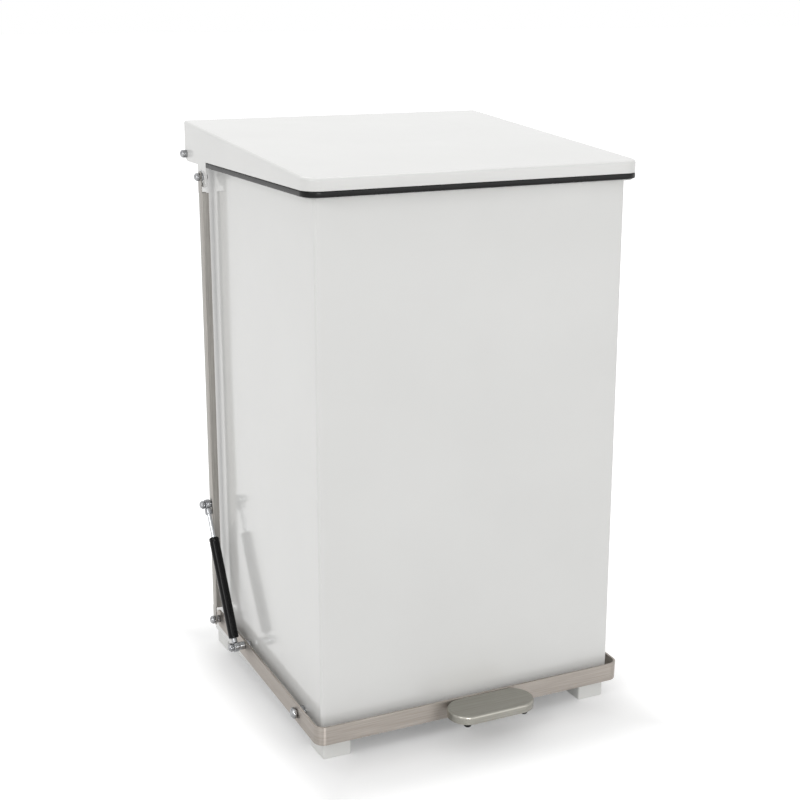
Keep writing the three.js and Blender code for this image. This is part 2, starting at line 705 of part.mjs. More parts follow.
for (const [side, hand] of sides) {
  const rodGroup = new THREE.Group();
  rodGroup.position.set(0, rodLowY, rodLowZ);
  rodGroup.rotation.x = -rodTilt;
  product.add(rodGroup);
  add(`lift_rod_${hand}`, liftRod(side), 'brushedSteel', rodGroup);

  const tabInner = lidOverhang - sheet;
  const hole = linkBoltRadius + gap;
  const nutOuter = tabInner - gap;
  add(`rod_upper_bolt_${hand}`, domedBolt(side, rodStandoff + rodSheet + gap, nutOuter - linkNutHeight,
    rodTopY, rodTopZ, linkNutFlats, linkHeadHeight, linkBoltRadius), 'zincSteel');
  add(`rod_upper_nut_${hand}`, nut(side, nutOuter - linkNutHeight, nutOuter, rodTopY, rodTopZ,
    linkNutFlats, hole), 'zincSteel');
  add(`rod_upper_washer_${hand}`, ring(side, lidOverhang + gap, rodStandoff - gap, rodTopY, rodTopZ,
    washerRadius, hole), 'zincSteel');
}

// ---------------------------------------------------------------- damper, left side only
const damperX = station(left, damperStandoff);
const damperGroup = new THREE.Group();
damperGroup.position.set(damperX, damperLow[0], damperLow[1]);
damperGroup.rotation.x = -damperTilt;
product.add(damperGroup);

function damperCylinder() {
  const top = damperStart + damperLength;
  const narrow = damperRadius - damperChamfer;
  const profile = [[0, damperStart], [narrow, damperStart], [damperRadius, damperStart + damperChamfer],
    [damperRadius, top - damperChamfer], [narrow, top], [0, top]];
  const points = profile.map(([radius, along]) => new THREE.Vector2(radius, along));
  const tube = new THREE.LatheGeometry(points, 20).rotateX(Math.PI / 2);
  const bore = barZ(damperRodRadius + gap, top - damperBoreDepth, top + overcut, 0, 0, 16);
  const socket = barZ(studRadius + gap, damperStart - overcut, damperStart + studBite + gap, 0, 0, 12);
  return cut(tube, bore, socket);
}

// Rod ends: a flat eye round each bolt, with a neck along the damper.
const eyeHalf = eyeThickness / 2;
const neckStart = eyeRadius - overcut;

function lowerEye() {
  const top = damperStart - gap;
  const eye = barX(eyeRadius, -eyeHalf, eyeHalf, 0, 0, 20);
  const neck = barZ(eyeNeckRadius, neckStart, top, 0, 0, 12);
  const stud = barZ(studRadius, top - overcut, top + studBite, 0, 0, 12);
  const hole = barX(linkBoltRadius + gap, -eyeHalf - overcut, eyeHalf + overcut, 0, 0, 14);
  return cut(union(eye, neck, stud), hole);
}

function upperEye() {
  const low = damperSpan - eyeNeckLength;
  const eye = barX(eyeRadius, -eyeHalf, eyeHalf, 0, damperSpan, 20);
  const neck = barZ(eyeSocketRadius, low, damperSpan - neckStart, 0, 0, 12);
  const socket = barZ(damperRodRadius + gap, low - overcut, damperSpan - eyeRadius - gap, 0, 0, 16);
  const hole = barX(studRadius + 2 * gap, -eyeHalf - overcut, eyeHalf + overcut, 0, damperSpan, 14);
  return cut(union(eye, neck), socket, hole);
}

const pistonTop = damperSpan - eyeRadius - 2 * gap;
const pistonBottom = damperStart + damperLength - damperRodInsertion;
add('damper_cylinder', damperCylinder(), 'blackPaint', damperGroup);
add('damper_lower_eye', lowerEye(), 'zincSteel', damperGroup);
add('damper_piston_rod', barZ(damperRodRadius, pistonBottom, pistonTop, 0, 0, 16), 'chrome', damperGroup);
add('damper_upper_eye', upperEye(), 'zincSteel', damperGroup);

const [lowY, lowZ] = damperLow;
const lowSeat = strapStandoff - gap;
add('damper_lower_bolt', union(
  hexX(linkNutFlats, station(left, lowSeat - linkNutHeight), station(left, lowSeat), lowY, lowZ),
  barX(linkBoltRadius, station(left, lowSeat - overcut), station(left, eyeOuter + capBite), lowY, lowZ, 12),
), 'zincSteel');
add('damper_lower_spacer', ring(left, strapOuter + gap, eyeInner - gap, lowY, lowZ, spacerRadius,
  linkBoltRadius + gap), 'zincSteel');
add('damper_lower_nut', capNut(left, eyeOuter + gap, eyeOuter + capBite, lowY, lowZ, linkNutFlats,
  linkNutHeight, linkBoltRadius + gap), 'zincSteel');

const [highY, highZ] = damperHigh;
const highSeat = rodStandoff - gap;
add('damper_upper_bolt', union(
  barX(studHeadRadius, station(left, highSeat - studHeadHeight), station(left, highSeat), highY, highZ),
  barX(studRadius, station(left, highSeat - overcut), station(left, eyeOuter + capBite), highY, highZ, 12),
), 'zincSteel');
add('damper_upper_washer', ring(left, rodStandoff + rodSheet + gap, eyeInner - gap, highY, highZ,
  studWasherRadius, studRadius + gap), 'zincSteel');
add('damper_upper_nut', capNut(left, eyeOuter + gap, eyeOuter + capBite, highY, highZ, linkNutFlats,
  linkNutHeight, studRadius + gap), 'zincSteel');

// ---------------------------------------------------------------- origin
// The origin is on the floor, under the middle of the overall box.
product.position.set(-(leftMost + rightMost) / 2, -(padFrontY + lidRear) / 2, 0);

export default product;
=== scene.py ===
"""Looks of a step-on waste bin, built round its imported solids.

Powder-coated steel body and lid, black rubber seal, brushed stainless pedal frame and lift rods,
zinc-plated fasteners and a small damper. Lengths are millimetres in the bin's own axes: x to the
right from the middle of the body, y to the rear from its front face, z up from the floor.
"""

import json
import math

import bpy
import bmesh
from mathutils import Matrix, Vector


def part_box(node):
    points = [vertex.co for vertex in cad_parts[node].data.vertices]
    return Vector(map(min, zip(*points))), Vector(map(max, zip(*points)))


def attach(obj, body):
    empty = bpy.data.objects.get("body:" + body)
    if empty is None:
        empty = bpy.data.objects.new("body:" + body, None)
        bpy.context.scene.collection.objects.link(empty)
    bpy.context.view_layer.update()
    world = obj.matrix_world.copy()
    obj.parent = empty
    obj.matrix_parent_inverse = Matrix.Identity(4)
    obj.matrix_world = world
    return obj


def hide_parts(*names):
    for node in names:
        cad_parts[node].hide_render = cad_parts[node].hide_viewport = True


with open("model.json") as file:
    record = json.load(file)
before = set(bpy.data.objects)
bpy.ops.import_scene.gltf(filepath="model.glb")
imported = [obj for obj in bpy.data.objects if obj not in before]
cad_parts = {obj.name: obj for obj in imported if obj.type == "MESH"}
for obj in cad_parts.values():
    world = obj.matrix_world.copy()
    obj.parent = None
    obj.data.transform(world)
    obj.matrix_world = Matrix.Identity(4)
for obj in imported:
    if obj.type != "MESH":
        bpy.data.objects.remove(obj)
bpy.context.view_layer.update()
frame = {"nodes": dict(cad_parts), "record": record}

# ---------------------------------------------------------------- dimensions
# Clearance between parts that lie against one another, and the sheet of the body and the lid.
GAP = 0.3
SHEET = 1.5

HEIGHT = 762.0
WIDTH = 420.0
DEPTH = 406.0
HALF = WIDTH / 2
BODY_CORNER = 4.0
BASE_FLANGE = 12.0
RIM_FLANGE = 10.0

FOOT_WIDTH, FOOT_DEPTH, FOOT_HEIGHT = 38.0, 42.0, 20.0
FOOT_INSET, FOOT_CORNER = 3.0, 2.2

LINER_CLEARANCE, LINER_LIP, LINER_FLOOR = 11.0, 2.0, 28.0

# Lid, with its seal under the front and sides and a skirt that is cut up at the rear.
LID_OVERHANG = 15.0
LID_BEHIND = 16.0
LID_REAR_HEIGHT = 56.5
LID_FRONT_HEIGHT = 22.0
LID_CORNER = 22.0
LID_REAR_CORNER = 5.0
LID_EDGE = 4.0
SEAL_HEIGHT = 7.0
SEAL_WIDTH = 10.0
SEAL_INNER_CORNER = 8.0
SEAL_REAR_INSET = 74.0
SKIRT_DROP = 2.0
SKIRT_REAR_CUT = 13.0
REAR_WALL_LIFT = 14.0

SEAT = HEIGHT - LID_REAR_HEIGHT
RIM = SEAT - GAP
LID_HALF = HALF + LID_OVERHANG
LID_FRONT = -LID_OVERHANG
LID_REAR = DEPTH + LID_BEHIND
LID_SLOPE = (LID_REAR_HEIGHT - LID_FRONT_HEIGHT) / (LID_REAR - LID_FRONT)
SKIRT_BOTTOM = SEAT + SEAL_HEIGHT + GAP
SEAL_END = DEPTH - SEAL_REAR_INSET

# Tab on each side of the lid, which the lift rod pushes.
TAB_FRONT = SEAL_END + GAP
TAB_WIDTH, TAB_DROP = 33.0, 28.5
TAB_BOTTOM = SEAT + SKIRT_DROP - TAB_DROP
TAB_CORNER = 9.0
TAB_HOLE = 8

AXLE_Y, AXLE_Z = DEPTH + 6.0, SEAT + 12.0
AXLE_RADIUS, AXLE_NUT, AXLE_GRIP = 3.0, 6.5, 3.25

BRACKET_DROP, BRACKET_HEIGHT, BRACKET_SHEET = 8.0, 50.0, 2.0
EAR_INSET, EAR_RADIUS, FLANGE_REACH = 10.0, 6.5, 42.0
RIVET_RISE, RIVET_INSET = 12.0, 15.0

# M6 and M8 fasteners: width across flats, height of a head and of a nut, then the radii of the
# shank, of the hole that clears it and of a collar or washer round it.
FLATS_M6, HEAD_M6, NUT_M6 = 10, 4.5, 5
SHANK_M6, HOLE_M6, COLLAR_M6, WASHER_M6 = 3, 3.3, 5.5, 7
FLATS_M8, HEAD_M8 = 13, 5
SHANK_M8, HOLE_M8, COLLAR_M8 = 4, 4.3, 7
CAP_DOME = 2.2

# Flat bar of the pedal frame, its pivot at the front, and how far the pivot's screw goes in.
STRAP_HEIGHT = 25.0
STRAP_THICK = 3.0
STRAP_STANDOFF = 8.5
STRAP_OUTER = STRAP_STANDOFF + STRAP_THICK
STRAP_REACH = 71.0
STRAP_CORNER = 14.0
PIVOT_Y, PIVOT_Z = 57.0, 44.0
PIVOT_TIP = 8.8
ARM_RISE = 14.0

# Lift rod, from the bar's rear end to the lid's tab.
ROD_LOW_Y, ROD_LOW_Z = DEPTH - 56.0, PIVOT_Z + ARM_RISE
ROD_TOP_Y, ROD_TOP_Z = AXLE_Y - 62.0, AXLE_Z - 25.0
ARM_LENGTH = math.hypot(ROD_LOW_Y - PIVOT_Y, ARM_RISE)
FRAME_TILT = math.atan2(ARM_RISE, ROD_LOW_Y - PIVOT_Y)
ROD_LENGTH = math.hypot(ROD_TOP_Y - ROD_LOW_Y, ROD_TOP_Z - ROD_LOW_Z)
ROD_TILT = math.atan2(ROD_TOP_Y - ROD_LOW_Y, ROD_TOP_Z - ROD_LOW_Z)
ROD_WEB = 12.0
ROD_FLANGE = 10.5
ROD_SHEET = 1.5
ROD_STANDOFF = LID_OVERHANG + 2.0
ROD_OUTER = ROD_STANDOFF + ROD_SHEET
ROD_END = 7.5
ROD_TRIM_LOW, ROD_TRIM_HIGH = 20.0, 21.0

# Tread on the front of the bar, and the rubber stops under it.
PAD_WIDTH, PAD_DEPTH = 120.0, 50.0
PAD_PLATE, PAD_SKIRT, PAD_WALL, PAD_BEND = 2.5, 11.0, 2.0, 3.2
PAD_OFFSET = 8.0
STOP_SPREAD, STOP_RADIUS, STOP_INSET, STOP_DROP = 41.0, 5.0, 10.5, 6.5

# Damper: its lower bolt by its place along the bar and above it, its upper one along the rod.
EYE_RADIUS, EYE_THICK = 7.0, 7.0
DAMPER_STATION = ROD_OUTER + 2.0 + EYE_THICK / 2
DAMPER_LOW = (190.0, 6.0)
DAMPER_HIGH_ALONG = 176.0
DAMPER_RADIUS, DAMPER_START, DAMPER_LENGTH = 7.0, 12.0, 143.0
DAMPER_ROD_RADIUS, DAMPER_ROD_INSIDE = 3, 75

HANDS = (("left", -1), ("right", 1))
# Edges sharper than this many degrees stay crisp; a round has this many sides.
CREASE, ROUND = 35.0, 48
QUARTER_TURN = [math.radians(15 * i) for i in range(7)]

# What the record says of each solid: the body that it moves with.
BODY_OF = {solid: body for body, solids in frame["record"]["behaviour"]["bodies"].items()
           for solid in solids}

# The bin's own axes in the frame: the body's middle, its rear face and the floor.
body_low, body_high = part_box("body_shell")
ORIGIN = Vector(((body_low.x + body_high.x) / 2, body_high.y - DEPTH / 1000, 0))
IDENTITY = Matrix.Identity(4)


def to_frame(point, place=IDENTITY):
    """Millimetres in the bin's own axes, or in a tilted place, to metres in the frame."""
    return place @ Vector(point) / 1000 + ORIGIN


# ---------------------------------------------------------------- finishes
def linear(code):
    """sRGB hex colour to linear RGBA."""
    channels = [int(code[i:i + 2], 16) / 255 for i in (1, 3, 5)]
    return [c / 12.92 if c <= 0.04045 else ((c + 0.055) / 1.055) ** 2.4 for c in channels] + [1.0]


def node(tree, kind, settings=None, **links):
    """Adds a shader node. Settings are its sockets, its attributes or a ramp's (place, colour)
    stops; links feed its sockets, with _ for a space."""
    made = tree.nodes.new("ShaderNode" + kind)
    for key, value in (settings or {}).items():
        if key == "stops":
            band = made.color_ramp.elements
            while len(band) < len(value):
                band.new(0.5)
            for element, (place, code) in zip(band, value):
                element.position = place
                element.color = linear(code)
        elif key in made.inputs:
            made.inputs[key].default_value = value
        else:
            setattr(made, key, value)
    for key, source in links.items():
        tree.links.new(source, made.inputs[key.replace("_", " ")])
    return made


def new_finish(name, settings):
    """An empty finish: its tree, its surface with constants set, and its coordinates."""
    material = bpy.data.materials.new(name)
    material.use_nodes = True
    tree = material.node_tree
    surface = tree.nodes["Principled BSDF"]
    for key, value in settings.items():
        surface.inputs[key].default_value = value
    return material, tree, surface, node(tree, "TexCoord").outputs["Object"]


def dress(tree, surface, pattern, tones, roughness, relief, strength, depth):
    """Feeds a surface: colour and roughness vary with one pattern, relief comes from another."""
    shade = node(tree, "ValToRGB", {"stops": [(0.3, tones[0]), (0.7, tones[1])]}, Fac=pattern)
    gloss = node(tree, "MapRange", {"From Min": 0.3, "From Max": 0.7,
                                    "To Min": roughness[0], "To Max": roughness[1]}, Value=pattern)
    bump = node(tree, "Bump", {"Strength": strength, "Distance": depth}, Height=relief)
    tree.links.new(shade.outputs["Color"], surface.inputs["Base Color"])
    tree.links.new(gloss.outputs["Result"], surface.inputs["Roughness"])
    tree.links.new(bump.outputs["Normal"], surface.inputs["Normal"])


# How much deeper the sheet's waves are than the orange peel.
WAVES_TO_PEEL = 120.0


def powder_coat():
    """White polyester powder coat, sprayed and baked on thin sheet steel: glossy, with an orange
    peel of 2.5 mm over shallow waves of the sheet, 125 mm long, that bend what it reflects."""
    material, tree, surface, where = new_finish("white_powder_coated_steel", {"IOR": 1.5})
    peel = node(tree, "TexNoise", {"Scale": 400.0, "Detail": 2.0, "Roughness": 0.4}, Vector=where)
    waves = node(tree, "TexNoise", {"Scale": 8.0, "Detail": 0.0}, Vector=where)
    drift = node(tree, "TexNoise", {"Scale": 6.0, "Detail": 3.0}, Vector=where)
    relief = node(tree, "Math", {"operation": "MULTIPLY_ADD"})
    tree.links.new(waves.outputs["Fac"], relief.inputs[0])
    relief.inputs[1].default_value = WAVES_TO_PEEL
    tree.links.new(peel.outputs["Fac"], relief.inputs[2])
    dress(tree, surface, drift.outputs["Fac"], ("#e4e4e2", "#e7e7e5"), (0.11, 0.16),
          relief.outputs["Value"], 0.06, 0.0003)
    return material


def brushed_stainless(name, tilt, stretch, across, roughness, grain, tones):
    """Stainless steel brushed with a belt along its length: warm grey, with hair lines that blur
    its reflections. The lines are drawn 1 mm apart, coarser than real ones, so that they show;
    grain is the size of one in metres. Highlights are drawn out by stretch, and turned from
    level by across."""
    material, tree, surface, where = new_finish(name, {"Metallic": 1.0, "Anisotropic": stretch,
                                                       "Anisotropic Rotation": across})
    belt = node(tree, "Tangent", {"direction_type": "RADIAL", "axis": "Z"})
    tree.links.new(belt.outputs["Tangent"], surface.inputs["Tangent"])
    along = node(tree, "Mapping", {"vector_type": "TEXTURE", "Rotation": (tilt, 0, 0),
                                   "Scale": grain}, Vector=where)
    hair = node(tree, "TexNoise", {"Scale": 1.0, "Detail": 3.0, "Roughness": 0.6},
                Vector=along.outputs["Vector"])
    dress(tree, surface, hair.outputs["Fac"], tones, roughness, hair.outputs["Fac"], 0.12, 0.0001)
    return material


def bright_zinc():
    """Bright zinc, barrel-plated on small steel fasteners: pale grey with cloudy patches of 5 mm
    and a faint grain of 0.8 mm from the tumbling."""
    material, tree, surface, where = new_finish("bright_zinc_plated_steel", {"Metallic": 1.0})
    cloud = node(tree, "TexNoise", {"Scale": 200.0, "Detail": 3.0}, Vector=where)
    grain = node(tree, "TexNoise", {"Scale": 1250.0, "Detail": 1.0}, Vector=where)
    dress(tree, surface, cloud.outputs["Fac"], ("#86878a", "#a9aaab"), (0.2, 0.34),
          grain.outputs["Fac"], 0.08, 0.0001)
    return material


def ground_chrome():
    """Hard chrome, ground and polished on the damper's rod: near mirror, with smears of 5 mm."""
    material, tree, surface, where = new_finish("ground_hard_chrome", {"Metallic": 1.0})
    smear = node(tree, "TexNoise", {"Scale": 220.0, "Detail": 2.0}, Vector=where)
    dress(tree, surface, smear.outputs["Fac"], ("#b4b6b9", "#c6c8ca"), (0.08, 0.16),
          smear.outputs["Fac"], 0.03, 0.0001)
    return material


def plain_finish(name, ior, sheen, tones, roughness, cloud_size, relief_size, strength):
    """Plastic, rubber or enamel: a cloudy drift of colour and a relief, sized in millimetres."""
    material, tree, surface, where = new_finish(name, {"IOR": ior, "Specular IOR Level": sheen})
    cloud = node(tree, "TexNoise", {"Scale": 1000.0 / cloud_size, "Detail": 4.0}, Vector=where)
    relief = node(tree, "TexNoise", {"Scale": 1000.0 / relief_size, "Detail": 1.0}, Vector=where)
    dress(tree, surface, cloud.outputs["Fac"], tones, roughness,
          relief.outputs["Fac"], strength, 0.0001)
    return material


COAT = powder_coat()
# The grain runs round the flat bar in its tilted plane, across the pad and up the rods.
BAR_STEEL = brushed_stainless("brushed_stainless_bar", FRAME_TILT, 0.9, 0.25, (0.4, 0.48),
                              (0.06, 0.06, 0.001), ("#989189", "#b1aaa4"))
PAD_STEEL = brushed_stainless("brushed_stainless_pad", FRAME_TILT, 0.0, 0.0, (0.28, 0.38),
                              (0.06, 0.001, 0.001), ("#8f8d86", "#a3a199"))
ROD_STEEL = brushed_stainless("brushed_stainless_rod", -ROD_TILT, 0.6, 0.0, (0.28, 0.38),
                              (0.001, 0.001, 0.06), ("#8d8a86", "#a9a6a1"))
ZINC = bright_zinc()
CHROME = ground_chrome()
# Extruded EPDM: near black, with a smooth skin that pales at a low angle and a grain of 0.7 mm.
RUBBER = plain_finish("extruded_epdm_rubber", 1.5, 0.2, ("#0b0b0b", "#131313"), (0.24, 0.32),
                      33, 0.7, 0.15)
# Injection-moulded polypropylene: even colour with long flow marks and a spark texture of 0.9 mm.
WHITE_PLASTIC = plain_finish("moulded_white_polypropylene", 1.49, 0.5, ("#e6e6e3", "#ebebe8"),
                             (0.4, 0.5), 110, 0.9, 0.12)
GREY_PLASTIC = plain_finish("moulded_grey_polypropylene", 1.49, 0.5, ("#878a8c", "#929597"),
                            (0.48, 0.58), 110, 0.9, 0.12)
# Stoved black enamel on the damper's tube: deep and glossy, with a faint ripple of 3 mm.
ENAMEL = plain_finish("stoved_black_enamel", 1.5, 0.15, ("#060606", "#0c0c0c"), (0.14, 0.22),
                      17, 3, 0.05)


# ---------------------------------------------------------------- mesh building
def piece(name, solids, material, parts, place=IDENTITY, holes=()):
    """One visible piece from (points, faces) parts. It stands for its solids and moves with their
    body; holes are parts that are cut out of it."""
    made = mesh_object(name, parts, place)
    for hole in holes:
        cutter = mesh_object(name + "_hole", [hole], place)
        cut = made.modifiers.new("hole", "BOOLEAN")
        cut.operation, cut.solver, cut.object = "DIFFERENCE", "EXACT", cutter
        drilled = bpy.data.meshes.new_from_object(
            made.evaluated_get(bpy.context.evaluated_depsgraph_get()))
        made.modifiers.clear()
        made.data = drilled
        bpy.data.objects.remove(cutter)
    made.data.shade_smooth()
    made.data.set_sharp_from_angle(angle=math.radians(CREASE))
    made.data.materials.clear()
    made.data.materials.append(material)
    made.modifiers.new("even_shading", "WEIGHTED_NORMAL").keep_sharp = True
    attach(made, BODY_OF[solids[0]])
    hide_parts(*solids)
    return made


def mesh_object(name, parts, place):
    """One mesh of several parts, welded where they meet, with its faces turned outward."""
    points, faces = [], []
    for part_points, part_faces in parts:
        start = len(points)
        points += [to_frame(p, place) for p in part_points]
        faces += [[start + i for i in face] for face in part_faces]
    mesh = bpy.data.meshes.new(name)
    mesh.from_pydata(points, [], faces)
    work = bmesh.new()
    work.from_mesh(mesh)
    bmesh.ops.remove_doubles(work, verts=work.verts, dist=2e-6)
    bmesh.ops.recalc_face_normals(work, faces=work.faces)
    work.to_mesh(mesh)
    work.free()
    made = bpy.data.objects.new(name, mesh)
    bpy.context.scene.collection.objects.link(made)
    return made


def loft(rings, joined=False):
    """Quads between closed rings of equal length. The two ends are capped, or joined up."""
    count = len(rings[0])
    points = [p for ring in rings for p in ring]
    pairs = [(a, a + 1) for a in range(len(rings) - 1)]
    if joined:
        pairs.append((len(rings) - 1, 0))
    faces = []
    for a, b in pairs:
        for i in range(count):
            j = (i + 1) % count
            faces.append([a * count + i, a * count + j, b * count + j, b * count + i])
    if not joined:
        faces.append(list(range(count)))
        faces.append([(len(rings) - 1) * count + i for i in range(count)])
    return points, faces


def arc(cx, cy, radius, start, end, steps=8):
    """Points on an arc, angles in degrees."""
    turns = [math.radians(start + (end - start) * i / steps) for i in range(steps + 1)]
    return [(cx + radius * math.cos(a), cy + radius * math.sin(a)) for a in turns]


def rounded_box(x0, x1, y0, y1, front, rear):
    """Outline with its own radius at the front and rear corners, counter-clockwise from above."""
    return (arc(x0 + front, y0 + front, front, 180, 270)
            + arc(x1 - front, y0 + front, front, 270, 360)
            + arc(x1 - rear, y1 - rear, rear, 0, 90) + arc(x0 + rear, y1 - rear, rear, 90, 180))


def level(outline, z):
    """A flat outline at one height."""
    return [(x, y, z) for x, y in outline]


def circle(radius, height):
    """A ring of points about z."""
    turns = [math.tau * i / ROUND for i in range(ROUND)]
    return [(radius * math.cos(a), radius * math.sin(a), height) for a in turns]


def turned(profile, joined=False):
    """Turned solid about z from (radius, height) pairs, or a ring where its profile is joined."""
    return loft([circle(max(r, 0.02), h) for r, h in profile], joined)


def collar(hole, radius, low, high, edge=0.3):
    """Washer, spacer or eye: a ring with softened edges."""
    return turned([(hole, low + edge), (hole + edge, low), (radius - edge, low),
                   (radius, low + edge), (radius, high - edge), (radius - edge, high),
                   (hole + edge, high), (hole, high - edge)], joined=True)


def hexagon(flats, low, high):
    """Rings of a hexagon whose corners are turned off at both ends."""
    rise = 0.06 * flats
    rings = []
    for height, limit in ((low, 0.47), (low + rise, 0.54), (low + 2 * rise, 1),
                          (high - 2 * rise, 1), (high - rise, 0.54), (high, 0.47)):
        ring = []
        for x, y, z in circle(1, height):
            turn = math.atan2(y, x)
            off = (turn + math.pi / 6) % (math.pi / 3) - math.pi / 6
            reach = flats * min(0.5 / math.cos(off), limit)
            ring.append((reach * x, reach * y, z))
        rings.append(ring)
    return rings


def cap_head(flats, low, high):
    """Domed head or cap nut."""
    crown = flats * 0.44
    cap = [circle(max(crown * math.cos(a), 0.05), high + CAP_DOME * math.sin(a))
           for a in QUARTER_TURN]
    return loft(hexagon(flats, low, high) + cap)


def plain_nut(flats, low, high):
    """Hexagon nut, shown solid as its bolt fills it."""
    return loft(hexagon(flats, low, high))


def shank(radius, low, high):
    """Plain round bar with its ends chamfered."""
    return turned([(radius - 0.4, low), (radius, low + 0.4), (radius, high - 0.4),
                   (radius - 0.4, high)])


def screw(tip, seat, flats=FLATS_M6, head=HEAD_M6, radius=SHANK_M6):
    """Screw with a domed head that bears on its seat."""
    return [cap_head(flats, seat, seat + head), shank(radius, tip, seat + 1)]


def outward(side, y, z):
    """A place on one side whose z axis points outward from the bin's middle plane."""
    return Matrix.Translation((0, y, z)) @ Matrix.Rotation(side * math.pi / 2, 4, "Y")


def station(out):
    """Height along an outward axis, given as a distance from the side of the body."""
    return HALF + out


def shrunk(outline, by):
    """A closed outline moved inward along its own normals."""
    result = []
    for i, (x, y) in enumerate(outline):
        px, py = outline[i - 1]
        nx, ny = outline[(i + 1) % len(outline)]
        a, b = Vector((y - py, px - x)), Vector((ny - y, x - nx))
        if a.length < 1e-6 or b.length < 1e-6:
            a = b = a + b
        a.normalize()
        b.normalize()
        reach = by / max(1 + a.dot(b), 0.3)
        result.append((x - (a.x + b.x) * reach, y - (a.y + b.y) * reach))
    return result


def slab(outline, low, high, edge=0.4):
    """Plate of a counter-clockwise outline with softened edges, its thickness along z."""
    half = edge * (1 - math.sqrt(0.5))
    return loft([level(shrunk(outline, edge), low), level(shrunk(outline, half), low + half),
                 level(outline, low + edge), level(outline, high - edge),
                 level(shrunk(outline, half), high - half), level(shrunk(outline, edge), high)])


def standing(part):
    """Turns a plate drawn in (y, z) so that its thickness lies along x."""
    points, faces = part
    return [(w, u, v) for u, v, w in points], faces


def front_path(half, front, end, corner):
    """Path round the front of the bin from the left side's rear end to the right side's."""
    return ([(-half, end)] + arc(-half + corner, front + corner, corner, 180, 270, 10)
            + arc(half - corner, front + corner, corner, 270, 360, 10) + [(half, end)])


def swept(outer, inner, low, high, edge):
    """Bar with softened edges between two paths; low and high may be lists, one for each point."""
    rings = []
    for i, (a, b) in enumerate(zip(outer, inner)):
        bottom = low[i] if isinstance(low, list) else low
        top = high[i] if isinstance(high, list) else high
        width = math.dist(a, b)
        soft = min(edge, 0.45 * width, 0.45 * (top - bottom))
        nick = soft * (1 - math.sqrt(0.5))
        ring = []
        for across, z in ((0, bottom + soft), (nick, bottom + nick), (soft, bottom),
                          (width - soft, bottom), (width - nick, bottom + nick),
                          (width, bottom + soft), (width, top - soft), (width - nick, top - nick),
                          (width - soft, top), (soft, top), (nick, top - nick), (0, top - soft)):
            t = across / width
            ring.append((a[0] + t * (b[0] - a[0]), a[1] + t * (b[1] - a[1]), z))
        rings.append(ring)
    return loft(rings)


# ---------------------------------------------------------------- body
def body_case():
    """Folded case: a flange turned in at the foot, and a flange turned out round the mouth."""
    def ring(inset, z, corner=BODY_CORNER):
        return level(rounded_box(-HALF + inset, HALF - inset, inset, DEPTH - inset,
                                 corner, corner), z)

    wall = [ring(BASE_FLANGE, FOOT_HEIGHT + SHEET),
            ring(SHEET, FOOT_HEIGHT + SHEET, BODY_CORNER - SHEET),
            ring(SHEET, RIM - 0.1, BODY_CORNER - SHEET), ring(SHEET / 2, RIM - 0.05),
            ring(0, RIM - SHEET / 2), ring(0, FOOT_HEIGHT + SHEET), ring(0.44, FOOT_HEIGHT + 0.44),
            ring(SHEET, FOOT_HEIGHT), ring(BASE_FLANGE, FOOT_HEIGHT)]
    end = SEAL_END - GAP
    rim = swept(front_path(HALF + RIM_FLANGE, -RIM_FLANGE, end, BODY_CORNER + RIM_FLANGE),
                front_path(HALF - 0.5, 0.5, end, BODY_CORNER - 0.5), RIM - SHEET, RIM, 0.5)
    return [loft(wall, joined=True), rim]


piece("body_case", ["body_shell"], COAT, body_case())


def foot_block(centre, middle):
    """Moulded block with softened edges, wider at its middle than on the floor."""
    def ring(inset, z):
        across, along = FOOT_WIDTH / 2 - inset, FOOT_DEPTH / 2 - inset
        return level(rounded_box(centre - across, centre + across, middle - along,
                                 middle + along, FOOT_CORNER, FOOT_CORNER), z)

    top = FOOT_HEIGHT - GAP
    return loft([ring(1.5, 0), ring(0.5, 0.4), ring(0, 1.5), ring(0, top - 0.5), ring(0.5, top)])


for hand, side in HANDS:
    for where, middle in (("front", FOOT_INSET + FOOT_DEPTH / 2),
                          ("rear", DEPTH - FOOT_INSET - FOOT_DEPTH / 2)):
        piece(f"foot_block_{where}_{hand}", [f"foot_{where}_{hand}"], WHITE_PLASTIC,
              [foot_block(side * (HALF - FOOT_INSET - FOOT_WIDTH / 2), middle)])


def bucket():
    """Lift-out liner: a bucket with round corners, a dished floor edge and a flat lip."""
    inset = SHEET + LINER_CLEARANCE
    out, lip_out = HALF - inset, HALF + LINER_LIP
    floor, top = LINER_FLOOR, SEAT

    def ring(by, z, corner):
        return level(rounded_box(-out + by, out - by, inset + by, DEPTH - inset - by,
                                 corner, corner), z)

    def lip_ring(by, z):
        return level(rounded_box(-lip_out + by, lip_out - by, -LINER_LIP + by, DEPTH - GAP - by,
                                 6, 4), z)

    return [loft([ring(8, floor + 2, 16), ring(4, floor + 3, 20), ring(2, floor + 8, 22),
                  ring(2, top + 0.5, 22), ring(1, top + 2, 23), lip_ring(0.6, top + 2),
                  lip_ring(0, top + 1.4), lip_ring(0, top + 0.5), lip_ring(0.5, top),
                  ring(0, top, 24), ring(0, floor + 7, 24), ring(2.5, floor + 1.5, 21.5),
                  ring(8, floor, 16)])]


piece("liner_bucket", ["inner_liner"], GREY_PLASTIC, bucket())

# ---------------------------------------------------------------- hinge brackets and axle
BRACKET_TOP = RIM - BRACKET_DROP
BRACKET_BOTTOM = BRACKET_TOP - BRACKET_HEIGHT
BRACKET_MIDDLE = BRACKET_TOP - BRACKET_HEIGHT / 2
EAR_INNER = EAR_INSET + BRACKET_SHEET


